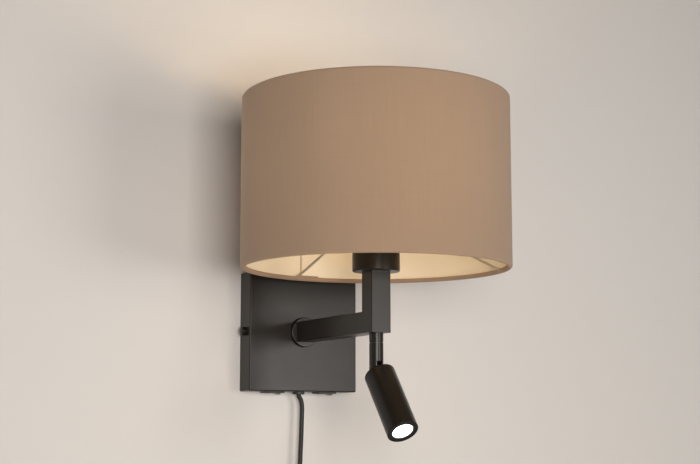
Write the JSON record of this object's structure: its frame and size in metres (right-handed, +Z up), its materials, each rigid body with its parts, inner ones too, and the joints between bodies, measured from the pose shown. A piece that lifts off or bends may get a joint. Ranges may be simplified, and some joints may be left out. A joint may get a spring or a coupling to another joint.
{
  "type": "wall lamp",
  "caption": "Plug-in wall lamp: square wall box, square-tube arm and post, fabric drum shade round a screw-cap bulb, and a reading spotlight that swivels and tilts.",
  "frame": {"origin": "on the wall, midway between the two wall screws and level with the arm's centre line", "axes": "+X to the right seen from the room, +Y into the wall, +Z up"},
  "size_m": [0.25, 0.301, 0.4877],
  "materials": {
    "black_steel": "fine matt powder coat",
    "black_aluminium": "fine matt powder coat",
    "plated_steel": "zinc plated",
    "bare_aluminium": "turned",
    "brass": "plain",
    "black_plastic": "fine matt",
    "black_rocker": "satin",
    "white_plastic": "plain",
    "cap_metal": "bright",
    "bulb_white": "satin",
    "opal": "opal",
    "clear": "clear",
    "shade_cloth": "fine linen weave",
    "shade_lining": "satin",
    "pale_wire": "pale grey lacquer",
    "cord_black": "satin",
    "pin_metal": "nickel plated"
  },
  "bodies": {
    "lamp": {"wall_bracket": "plated_steel", "wall_cover": "black_steel", "cover_screws": "black_steel", "terminal_block": "white_plastic", "terminal_screws": "plated_steel", "led_driver": "white_plastic", "arm_rosette": "black_steel", "arm_tube": "black_steel", "arm_end_plug": "black_steel", "arm_nipple": "plated_steel", "arm_washer": "plated_steel", "arm_nut": "plated_steel", "post_tube": "black_steel", "post_foot_plug": "black_steel", "post_head_plug": "black_steel", "socket_cup": "black_steel", "socket_nipple": "plated_steel", "lampholder_body": "black_plastic", "contact_shell": "brass", "centre_contact": "brass", "shade_clamp_ring": "black_plastic", "bulb_cap": "cap_metal", "bulb_body": "bulb_white", "bulb_globe": "opal", "shade_fabric": "shade_cloth", "shade_liner": "shade_lining", "shade_top_ring": "pale_wire", "shade_bottom_ring": "pale_wire", "spider_ring": "pale_wire", "spider_arms": "pale_wire", "spot_stem": "black_steel", "swivel_washer": "plated_steel", "swivel_pin": "plated_steel", "swivel_nut": "plated_steel", "switch_housing_left": "black_plastic", "switch_housing_right": "black_plastic", "cord_outlet": "black_plastic", "outlet_nut": "black_plastic", "cord_lead_in": "cord_black", "cord_drop": "cord_black", "cord_coil": "cord_black", "cord_tail": "cord_black", "coil_tie": "black_plastic", "plug_body": "black_plastic", "plug_pins": "pin_metal"},
    "swivel": {"swivel_fork": "black_steel", "pivot_pin": "plated_steel"},
    "spot": {"spot_tail_cap": "black_aluminium", "spot_tube": "black_aluminium", "spot_heat_sink": "bare_aluminium", "led_board": "bare_aluminium", "spot_optic": "clear", "spot_lens": "clear", "lens_bezel": "black_aluminium"},
    "left_rocker": {"switch_rocker_left": "black_rocker"},
    "right_rocker": {"switch_rocker_right": "black_rocker"}
  },
  "joints": [
    {"name": "spot_swivel", "type": "hinge", "parent": "lamp", "child": "swivel", "pos_m": [0, -0.176, -0.0191], "axis": [0, 0, 1], "range_deg": [-165, 165]},
    {"name": "spot_tilt", "type": "hinge", "parent": "swivel", "child": "spot", "pos_m": [0, -0.176, -0.0401], "axis": [-1, 0, 0], "range_deg": [-129, 51]},
    {"name": "switch_left", "type": "hinge", "parent": "lamp", "child": "left_rocker", "pos_m": [-0.029, -0.012, -0.0575], "axis": [0, 1, 0], "range_deg": [-16, 0]},
    {"name": "switch_right", "type": "hinge", "parent": "lamp", "child": "right_rocker", "pos_m": [0.029, -0.012, -0.0575], "axis": [0, 1, 0], "range_deg": [-16, 0]}
  ]
}
